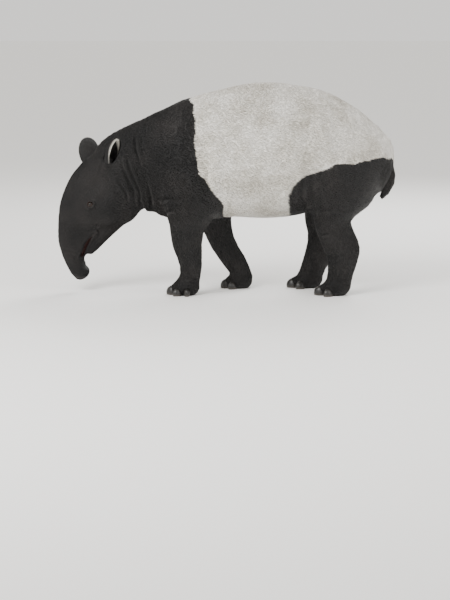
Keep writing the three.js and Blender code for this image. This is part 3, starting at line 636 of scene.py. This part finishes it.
def make_skin():
    shell = bmesh.new()
    mouths = [lambda tool, side=side: add_mouth(tool, side) for side in (-1, 1)]
    for name in FLESH:
        part = flesh_mesh(name, mouths if name in ("head", "snout", "jaw") else [])
        shell.from_mesh(part.data)
        bpy.data.objects.remove(part)
    for side in ("left", "right"):
        ear_root(shell, side)
        eye_bulge(shell, side)
    mesh = bpy.data.meshes.new("skin")
    shell.to_mesh(mesh)
    shell.free()
    skin = remeshed(new_object("skin", mesh), SKIN_GRID)
    points = points_of(skin.data)
    move_points(skin.data, smooth_points(skin.data, region_weights(points), SKIN_ROUNDS))
    points, outward = points_of(skin.data), normals_of(skin.data)
    at = measured(points)
    sole = soft_step(0.0, 0.006, points[:, 2])[:, None]
    rise = (form_height(at) - fold_depth(at)) / 1000 - COAT_DEPTH
    points += outward * rise[:, None] * sole
    points[:, 2] = np.maximum(points[:, 2], 0)
    move_points(skin.data, points)
    group = skin.vertex_groups.new(name="plain")
    x, z = points[:, 0], points[:, 2]
    plain = 0.2 + 0.8 * soft_step(-0.45, -0.25, x) * soft_step(0.2, 0.4, z)
    for level in range(1, 11):
        chosen = np.nonzero(np.round(plain * 10) == level)[0].tolist()
        if chosen:
            group.add(chosen, level / 10, "REPLACE")
    triangles = sum(len(p.vertices) - 2 for p in skin.data.polygons)
    fewer = skin.modifiers.new("fewer", "DECIMATE")
    fewer.ratio = min(1.0, SKIN_TRIANGLES / triangles)
    fewer.vertex_group = "plain"
    fewer.vertex_group_factor = 1.0
    settled(skin)
    return skin


# Lids: the almond opening's half length and half heights, and how far out the lids reach
LID_OPENING = (0.0158, 0.0118, 0.0098)
LID_REACH = 0.028
LID_SQUASH = 0.92  # the lids' reach up and down, as a share of their reach along
LID_POINTS = 56
SOCKET = 0.06  # everything that is cut or joined for the lids is within this of the eye
LID_STEPS = [0, 0.02, 0.05, 0.10, 0.17, 0.25, 0.32, 0.38, 0.43, 0.49, 0.56, 0.64, 0.73, 0.82, 0.91, 1.0]


def lid_height(step, r, angle, surface):
    """How high the lids stand over the eye's centre: over the ball near it, on the skin further out."""
    ball = math.sqrt(max(EYE_RADIUS**2 - r**2, 0))
    upper = max(0.0, math.sin(angle))
    if step == 0:
        return ball - 0.0012
    thick = 0.0036 * min(1, step / 0.08) ** 0.5
    over = ball + thick
    k = 0.004
    blend = max(k - abs(over - surface), 0) / k
    height = max(over, surface) + blend * blend * k / 4
    height = height + (surface - height) * (max(0, step - 0.55) / 0.45) ** 1.5
    crease = 0.0027 * math.exp(-(((step - 0.40) / 0.05) ** 2)) * (0.45 + 0.55 * upper)
    second = 0.0014 * math.exp(-(((step - 0.68) / 0.07) ** 2))
    return height - crease - second


def open_loop(edges):
    """The vertices of a closed chain of edges, in order."""
    neighbours = {}
    for edge in edges:
        for one, other in (edge.verts, reversed(edge.verts)):
            neighbours.setdefault(one, []).append(other)
    first = next(iter(neighbours))
    chain, before = [first], None
    while True:
        following = [v for v in neighbours[chain[-1]] if v is not before]
        before = chain[-1]
        if not following or following[0] is first:
            return chain
        chain.append(following[0])
        if len(chain) > len(neighbours):
            return chain


def zip_loops(shell, one, other):
    """Closes the gap between two rings that lie round each other."""
    start = min(range(len(other)), key=lambda i: (other[i].co - one[0].co).length)
    other = other[start:] + other[:start]
    if (other[3].co - one[3].co).length > (other[-3].co - one[3].co).length:
        other = [other[0]] + other[:0:-1]
    i = j = 0
    made = []
    while i < len(one) or j < len(other):
        a, b = one[i % len(one)], other[j % len(other)]
        after_a, after_b = one[(i + 1) % len(one)], other[(j + 1) % len(other)]
        nearer = (after_a.co - b.co).length < (after_b.co - a.co).length
        step_a = j >= len(other) or (i < len(one) and nearer)
        made.append(shell.faces.new((a, b, after_a) if step_a else (a, b, after_b)))
        if step_a:
            i += 1
        else:
            j += 1
    return made


def add_lids(skin, side):
    centre, outward, along, across = eye_frame(side)
    shell = bmesh.new()
    shell.from_mesh(skin.data)
    tree = BVHTree.FromBMesh(shell)
    rings = []
    for step in LID_STEPS:
        ring = []
        for k in range(LID_POINTS):
            angle = k * math.tau / LID_POINTS
            c, s = math.cos(angle), math.sin(angle)
            half = LID_OPENING[1] if s > 0 else LID_OPENING[2]
            # An almond: the two arcs meet in corners at the ends of its length
            x, y = LID_OPENING[0] * c, half * s * (abs(s) ** 0.25)
            x += (LID_REACH * c - x) * step
            y += (LID_REACH * s * LID_SQUASH - y) * step
            flat = centre + along * x + across * y
            hit = tree.ray_cast(flat + outward * 0.05, -outward)[0]
            surface = (hit - centre).dot(outward) if hit else 0.008
            height = lid_height(step, math.hypot(x, y), angle, surface)
            ring.append(flat + outward * height)
        rings.append(ring)
    gone = []
    for face in shell.faces:
        middle = face.calc_center_median() - centre
        if middle.length < SOCKET:
            x, y, high = middle.dot(along), middle.dot(across) / LID_SQUASH, middle.dot(outward)
            if math.hypot(x, y) < LID_REACH + 0.002 and high > -0.02:
                gone.append(face)
    bmesh.ops.delete(shell, geom=gone, context="FACES")
    hole = [e for e in shell.edges if e.is_boundary and (e.verts[0].co - centre).length < SOCKET]
    made = [[shell.verts.new(p) for p in ring] for ring in rings]
    new_faces = []
    for one, other in zip(made, made[1:]):
        for k in range(LID_POINTS):
            after = (k + 1) % LID_POINTS
            new_faces.append(shell.faces.new((one[k], one[after], other[after], other[k])))
    new_faces += zip_loops(shell, made[-1], open_loop(hole))
    bmesh.ops.recalc_face_normals(shell, faces=new_faces)
    middle_face = new_faces[LID_POINTS * (len(LID_STEPS) // 2)]
    if middle_face.normal.dot(outward) < 0:
        bmesh.ops.reverse_faces(shell, faces=new_faces)
    shell.to_mesh(skin.data)
    shell.free()


# The white saddle's outline in the side view, in millimetres as measured
SADDLE = [
    (-168, 1200), (-168, 902), (-149, 869), (-144, 797), (-139, 701), (-134, 629), (-130, 581),
    (-115, 523), (-82, 490), (-58, 456), (-29, 418), (-8, 395), (-8, 250),
    (300, 250), (298, 394), (288, 437), (298, 470), (322, 499), (360, 528), (408, 542), (456, 562),
    (504, 581), (600, 593), (672, 605), (710, 621), (744, 627), (782, 625), (1000, 620), (1000, 1200),
]
BELLY = 346  # height above the floor up to which everything is black
SNOUT_TIP = [-694, 0, 60]


def saddle_distance(at):
    """How far inside the white saddle each point lies, in millimetres, below 0 outside it."""
    side_view = as_drawn(at)
    # On the right the foreleg slants back, and the edge follows it
    right = soft_step(0, 80, at[:, 1]) * soft_step(600, 420, at[:, 2])
    side_view[:, 0] -= 50 * right * soft_step(200, 0, side_view[:, 0])
    far = distance_to_line(side_view, SADDLE + SADDLE[:1])[0]
    return np.minimum(np.where(inside_outline(side_view, SADDLE), far, -far), at[:, 2] - BELLY)


def coat_lie(points, normals):
    """Which way the hair lies: up the face, back along the trunk and down the legs."""
    x, z = points[:, 0], points[:, 2]
    flow = np.tile([1.0, 0.0, -0.3], (len(points), 1))
    legs = (1 - soft_step(0.3, 0.48, z)) * soft_step(-0.3, -0.25, x)
    face = 1 - soft_step(-0.6, -0.45, x)
    tail = soft_step(0.7, 0.74, x) * (1 - soft_step(0.6, 0.66, z))
    for weight, way in ((legs, (0.12, 0, -1)), (face, (0.55, 0, 0.9)), (tail, (0.1, 0, -1))):
        flow += (np.array(way) - flow) * weight[:, None]
    flow -= normals * np.sum(flow * normals, axis=1)[:, None]
    return flow / np.maximum(np.linalg.norm(flow, axis=1), 1e-6)[:, None]


skin = make_skin()
for side in ("left", "right"):
    add_lids(skin, side)
skin.data.shade_smooth()
skin_points, skin_normals = points_of(skin.data), normals_of(skin.data)
skin_at = measured(skin_points)
# The edge between the colours wanders by a few millimetres
wander = 4 * np.sin(skin_at[:, 0] * 0.11 + skin_at[:, 2] * 0.07)
wander += 3 * np.sin(skin_at[:, 2] * 0.23 + skin_at[:, 1] * 0.1)
marking = saddle_distance(skin_at) + wander
store(skin.data, "marking", marking)
store(skin.data, "lie", coat_lie(skin_points, skin_normals))
mouth_near = distance_to_line(
    np.column_stack([skin_at[:, 0], np.abs(skin_at[:, 1]), skin_at[:, 2]]), [m[:3] for m in MOUTH]
)[0]
mouth_side, mouth_share = distance_to_line(skin_at[:, [0, 2]], [(m[0], m[2]) for m in MOUTH])
mouth_edge = np.interp(mouth_share, np.linspace(0, 1, len(MOUTH)), [m[1] for m in MOUTH])
inner_mouth = soft_step(2, 8, mouth_edge - np.abs(skin_at[:, 1])) * (1 - soft_step(9, 12, mouth_side))
lips = (1 - soft_step(8, 13, mouth_near)) * (1 - inner_mouth)
nose = 1 - soft_step(20, 46, np.linalg.norm(skin_at - SNOUT_TIP, axis=1))
eye_near = np.minimum.reduce(
    [np.linalg.norm(skin_points - np.array(eye_frame(side)[0]), axis=1) for side in ("left", "right")]
)
lids = 1 - soft_step(0.0185, 0.0235, eye_near)
bare = np.clip(np.maximum.reduce([lips, nose, lids]), 0, 1)
store(skin.data, "bare", bare)
store(skin.data, "mouth", inner_mouth)
skin.data.materials.clear()
skin.data.materials.append(HIDE)
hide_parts(*FLESH)
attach(skin, "root")

ears = {}
for side in ("left", "right"):
    ears[side] = make_ear(side)
    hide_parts(f"ear_{side}")
    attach(ears[side], "root")


# Eyes
def make_eye(side):
    centre, outward, along, _ = eye_frame(side)
    shell = bmesh.new()

    def cornea(local):
        return local * (1 + 0.05 * max(0, (local.z - 0.8) / 0.2) ** 2)

    add_ellipsoid(shell, centre, (along, outward.cross(along), outward), [EYE_RADIUS] * 3, 48, 32, cornea)
    eye = object_from(f"eyeball_{side}", shell)
    eye.data.shade_smooth()
    eye.data.materials.append(eye_material(f"wet_eye_{side}", centre, outward, along))
    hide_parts(f"eye_{side}")
    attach(eye, "root")


for side in ("left", "right"):
    make_eye(side)

# Hooves
ANKLES = {
    "foreleg_left": (-176, -112), "foreleg_right": (80, 112),
    "hindleg_left": (536, -120), "hindleg_right": (414, 120),
}
# Each toe: its turn from straight ahead in degrees, reach, size and how far it is raised
TOES = {
    "foreleg": [(-4, 64, 28, 0), (-46, 56, 23, 0), (40, 56, 23, 0), (86, 50, 18, 16)],
    "hindleg": [(0, 76, 29, 0), (-43, 62, 24, 0), (43, 62, 24, 0)],
}
HOOF_SHAPE = (1.15, 0.84, 1.2)  # its radii along, across and up, as shares of the toe's size
HOOF_SLOPE = 0.3  # radians
HOOF_AHEAD = 6  # millimetres that its middle lies past the toe's end
SOLE_BEVEL = 0.0035


def make_hoof(leg, number, turn, reach, size, raised):
    outside = -1 if leg.endswith("left") else 1
    angle = outside * math.radians(turn)
    way = Vector((-math.cos(angle), math.sin(angle), 0))
    x, y = ANKLES[leg]
    tip_z = size * 0.8 + raised
    out = reach + HOOF_AHEAD
    middle = spot(x + way.x * out, y + way.y * out, tip_z * 0.5)
    c, s = math.cos(HOOF_SLOPE), math.sin(HOOF_SLOPE)
    ahead = Vector((way.x * c, way.y * c, -s))
    upward = Vector((way.x * s, way.y * s, c))
    axes = (ahead, Vector((-way.y, way.x, 0)), upward)
    radii = [size * share / 1000 for share in HOOF_SHAPE]
    shell = bmesh.new()

    def growth(local):
        """Low rings round the horn, and a slightly squared front edge."""
        ring = 0.005 * math.sin(local.z * 19 + 2 * local.x) * (1 - abs(local.z))
        square = 1 - 0.05 * abs(local.x * local.y) * 2
        return local * (square + ring)

    verts = add_ellipsoid(shell, middle, axes, radii, 48, 36, growth)
    # The sole is flat on the ground, with a small bevel round it
    for vertex in verts:
        height = max(vertex.co.z, 0.0)
        if height < SOLE_BEVEL:
            vertex.co.z = SOLE_BEVEL - math.sqrt(SOLE_BEVEL**2 - height**2)
    hoof = object_from(f"{leg}_nail_{number}", shell)
    hoof.data.shade_smooth()
    hoof.data.materials.append(HORN)
    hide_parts(f"{leg}_hoof_{number}")
    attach(hoof, "root")


for leg in LEGS:
    for number, toe in enumerate(TOES[leg.split("_")[0]], 1):
        make_hoof(leg, number, *toe)


# Coat
BAKE_PATCH = 0.003  # how much of the unwrap one lock covers


def tuft_tree():
    """Sets small pointed locks over a surface, lying along its hair."""
    tree = bpy.data.node_groups.new("short_coat", "GeometryNodeTree")
    face = tree.interface
    face.new_socket("Surface", in_out="INPUT", socket_type="NodeSocketGeometry")
    for name, kind in (
        ("Locks per square metre", "NodeSocketFloat"), ("Lock length", "NodeSocketFloat"),
        ("Lock width", "NodeSocketFloat"), ("Lift", "NodeSocketFloat"),
        ("Colour side", "NodeSocketFloat"), ("Seed", "NodeSocketInt"), ("Hair", "NodeSocketMaterial"),
    ):
        face.new_socket(name, in_out="INPUT", socket_type=kind)
    face.new_socket("Coat", in_out="OUTPUT", socket_type="NodeSocketGeometry")
    given = node(tree, "NodeGroupInput").outputs

    def named(name, kind="FLOAT"):
        made = node(tree, "GeometryNodeInputNamedAttribute", {"data_type": kind}, Name=name)
        return made.outputs["Attribute"]

    def draw(low, high, seed, kind="FLOAT"):
        made = node(tree, "FunctionNodeRandomValue", {"data_type": kind}, Seed=seed)
        sockets = [s for s in made.inputs if s.enabled]
        sockets[0].default_value, sockets[1].default_value = low, high
        return [s for s in made.outputs if s.enabled][0]

    def keep(geometry, name, value, kind="FLOAT", domain="POINT"):
        return node(
            tree, "GeometryNodeStoreNamedAttribute", {"data_type": kind, "domain": domain},
            Geometry=geometry, Name=name, Value=value,
        ).outputs[0]

    density = sums(tree, "MULTIPLY", given["Locks per square metre"], named("tufts"))
    points = node(
        tree, "GeometryNodeDistributePointsOnFaces", {"distribute_method": "RANDOM"},
        Mesh=given["Surface"], Density=density, Seed=given["Seed"],
    )
    # A lock whose root is on the wrong side of the colours' edge is dropped
    side = sums(tree, "MULTIPLY", given["Colour side"], named("marking"))
    limit = sums(tree, "MULTIPLY", given["Colour side"], draw(-1.5, 1.5, 10))
    wrong = sums(tree, "LESS_THAN", side, limit)
    sided = node(
        tree, "GeometryNodeDeleteGeometry", Geometry=points.outputs["Points"], Selection=wrong
    ).outputs[0]
    placed = keep(sided, "root", named("OFBake", "FLOAT_VECTOR"), "FLOAT_VECTOR")
    placed = keep(placed, "shade", draw(0.0, 1.0, 11))
    # One lock: a flattened cone of three sides, its root at nothing and its tip along Y
    cone = node(
        tree, "GeometryNodeMeshCone", {"fill_type": "NONE"},
        Vertices=3, Radius_Top=0.0, Radius_Bottom=0.5, Depth=1.0,
    ).outputs["Mesh"]
    turned = node(
        tree, "GeometryNodeTransform", Geometry=cone, Rotation=(-math.pi / 2, -math.pi / 2, 0)
    ).outputs[0]
    corner = node(tree, "GeometryNodeInputPosition").outputs[0]
    patch = vectors(tree, "MULTIPLY", corner, (BAKE_PATCH, BAKE_PATCH, 0)).outputs[0]
    lock = keep(turned, "patch", patch, "FLOAT_VECTOR")
    facing = node(
        tree, "FunctionNodeAxesToRotation", {"primary_axis": "Z", "secondary_axis": "Y"},
        _0=points.outputs["Normal"], _1=named("lie", "FLOAT_VECTOR"),
    ).outputs[0]
    lift = sums(tree, "MULTIPLY", given["Lift"], draw(0.4, 1.6, 12))
    roll, turn = draw(-0.2, 0.2, 13), draw(-0.24, 0.24, 14)
    swing = node(tree, "ShaderNodeCombineXYZ", X=lift, Y=roll, Z=turn).outputs[0]
    swing = node(tree, "FunctionNodeEulerToRotation", _0=swing).outputs[0]
    rotation = node(
        tree, "FunctionNodeRotateRotation", {"rotation_space": "LOCAL"}, _0=facing, _1=swing
    ).outputs[0]
    size = sums(tree, "MULTIPLY", named("tuft_size"), draw(0.75, 1.25, 15))
    wide = sums(tree, "MULTIPLY", given["Lock width"], size)
    long = sums(tree, "MULTIPLY", given["Lock length"], size)
    thick = sums(tree, "MULTIPLY", wide, 0.4)
    scale = node(tree, "ShaderNodeCombineXYZ", X=wide, Y=long, Z=thick).outputs[0]
    locks = node(
        tree, "GeometryNodeInstanceOnPoints", Points=placed, Instance=lock, Rotation=rotation, Scale=scale
    ).outputs[0]
    real = node(tree, "GeometryNodeRealizeInstances", Geometry=locks).outputs[0]
    over = vectors(tree, "ADD", named("root", "FLOAT_VECTOR"), named("patch", "FLOAT_VECTOR")).outputs[0]
    mapped = keep(real, "OFBake", over, "FLOAT2", "CORNER")
    for name in ("root", "patch", "lie", "tufts", "tuft_size", "bare", "mouth"):
        mapped = node(tree, "GeometryNodeRemoveAttribute", Geometry=mapped, Name=name).outputs[0]
    smooth = node(tree, "GeometryNodeSetShadeSmooth", _0=mapped).outputs[0]
    coat = node(tree, "GeometryNodeSetMaterial", Geometry=smooth, Material=given["Hair"]).outputs[0]
    node(tree, "NodeGroupOutput", Coat=coat)
    return tree


def unwrap(obj):
    """An unwrap of the surface's own shape, so that each lock bakes at its root's place."""
    obj.data.uv_layers.new(name="OFBake")
    bpy.context.view_layer.objects.active = obj
    obj.select_set(True)
    bpy.ops.object.mode_set(mode="EDIT")
    bpy.ops.mesh.select_all(action="SELECT")
    bpy.ops.uv.smart_project(angle_limit=math.radians(66), island_margin=0.0)
    bpy.ops.object.mode_set(mode="OBJECT")
    obj.select_set(False)


TUFTS = tuft_tree()
MOST_LOCKS = 62000  # of one piece of coat
LOCK_LENGTH, LOCK_WIDTH = 0.012, 0.0032
COVER = 2.0  # how many locks lie over one spot, where there are enough of them


def triangle_areas(mesh, values):
    """Each triangle's area, and the mean of values over its corners."""
    mesh.calc_loop_triangles()
    corners = np.empty(len(mesh.loop_triangles) * 3, np.int32)
    mesh.loop_triangles.foreach_get("vertices", corners)
    corners = corners.reshape(-1, 3)
    points = points_of(mesh)[corners]
    areas = np.linalg.norm(np.cross(points[:, 1] - points[:, 0], points[:, 2] - points[:, 0]), axis=1) / 2
    return areas, values[corners].mean(axis=1)


def make_coat(name, surface, share, size, hair, seed, colour_side, lift=0.15):
    """Covers a part of a surface with locks. share says where it grows and size how long it is.
    colour_side is 1 for the white coat, -1 for the black and 0 for a coat of both."""
    source = new_object("source", surface.data.copy())
    tufts = share / np.maximum(size, 0.2) ** 2
    for key, values in (("tufts", tufts), ("tuft_size", size)):
        if key in source.data.attributes:
            source.data.attributes.remove(source.data.attributes[key])
        store(source.data, key, values)
    areas, mean = triangle_areas(source.data, tufts)
    each = LOCK_LENGTH * LOCK_WIDTH * 0.5
    density = min(COVER / each, MOST_LOCKS / float(areas @ mean))
    modifier = source.modifiers.new("coat", "NODES")
    modifier.node_group = TUFTS
    values = {
        "Locks per square metre": density, "Lock length": LOCK_LENGTH, "Lock width": LOCK_WIDTH,
        "Lift": lift, "Colour side": float(colour_side), "Seed": seed, "Hair": hair,
    }
    for item in TUFTS.interface.items_tree:
        if item.item_type == "SOCKET" and item.name in values:
            modifier[item.identifier] = values[item.name]
    mesh = bpy.data.meshes.new_from_object(source.evaluated_get(bpy.context.evaluated_depsgraph_get()))
    mesh.name = name
    old = source.data
    bpy.data.objects.remove(source)
    bpy.data.meshes.remove(old)
    coat = new_object(name, mesh)
    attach(coat, "root")
    return coat


unwrap(skin)
shown = (1 - np.clip(bare * 1.5, 0, 1)) * (1 - inner_mouth) * (skin_points[:, 2] > 0.012)
x, z = skin_at[:, 0], skin_at[:, 2]
feet = 1 - soft_step(40, 130, z)
face = 1 - soft_step(-600, -440, x)
tuft_size = np.clip(1 - 0.55 * face - 0.5 * feet * soft_step(-560, -500, x), 0.36, 1)
# Each colour's coat reaches a little past the edge here, and its locks there are dropped one by one
PAST_EDGE = 30
LEG_TOP = 300
white = marking > -PAST_EDGE
black = marking < PAST_EDGE
head = (x + 0.12 * (z - 560) < -470) & black
snout = head & (z < 330)
trunk_black = (z > LEG_TOP) & black & ~head
low = (z <= LEG_TOP) & black & ~head
for number, (name, part, colour_side) in enumerate((
    ("coat_snout", snout, -1),
    ("coat_head", head & ~snout, -1),
    ("coat_neck_and_shoulders", trunk_black & (x < 120), -1),
    ("coat_haunches", trunk_black & (x >= 120), -1),
    ("coat_lower_legs", low, -1),
    ("coat_saddle_left", white & (skin_at[:, 1] < 0) & (z > 600), 1),
    ("coat_saddle_right", white & (skin_at[:, 1] >= 0) & (z > 600), 1),
    ("coat_saddle_belly", white & (z <= 600), 1),
)):
    hair = WHITE_FUR if colour_side > 0 else BLACK_FUR
    coat = make_coat(name, skin, part * shown, tuft_size, hair, 20 + number, colour_side)

for side, ear in ears.items():
    unwrap(ear)
    above = soft_step(0, 0.01, points_of(ear.data)[:, 2] - ear_frame(side)[0].z)
    rows = len(ear.data.vertices)
    bare_ear = np.empty(rows, np.float32)
    ear.data.attributes["bare"].data.foreach_get("value", bare_ear)
    share = above * (1 - bare_ear)
    coat = make_coat(f"coat_ear_{side}", ear, share, np.full(rows, 0.4), EAR_FUR, 40, 0, lift=0.1)

# Floor and light
floor_mesh = bpy.data.meshes.new("floor")
FLOOR_REACH = 60
floor_corners = [(x * FLOOR_REACH, y * FLOOR_REACH, 0) for x, y in ((-1, -1), (1, -1), (1, 1), (-1, 1))]
floor_mesh.from_pydata(floor_corners, [], [(0, 1, 2, 3)])
floor = new_object("floor", floor_mesh)
floor_material, _, floor_shader = material("pale_matt_floor", Roughness=0.9)
floor_shader.inputs["Base Color"].default_value = linear("#f9f8f6")
floor_shader.inputs["Specular IOR Level"].default_value = 0.1
floor.data.materials.append(floor_material)
floor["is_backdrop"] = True


def lamp(name, spot, target, size, power):
    data = bpy.data.lights.new(name, "AREA")
    data.shape = "DISK"
    data.size = size
    data.energy = power
    obj = new_object(name, data)
    obj.location = spot
    obj.rotation_euler = (Vector(target) - Vector(spot)).to_track_quat("-Z", "Y").to_euler()


lamp("key", (-2.6, -3.6, 3.6), (0, 0, 0.5), 2.4, 260)
lamp("fill", (3.6, -3.0, 2.0), (0, 0, 0.5), 3.2, 60)
lamp("back", (1.5, 3.8, 3.4), (0, 0, 0.6), 2.4, 160)
world = bpy.data.worlds.new("studio")
scene.world = world
world.use_nodes = True
world.node_tree.nodes["Background"].inputs["Color"].default_value = linear("#f2f0ec")
world.node_tree.nodes["Background"].inputs["Strength"].default_value = 1.25

low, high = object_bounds()
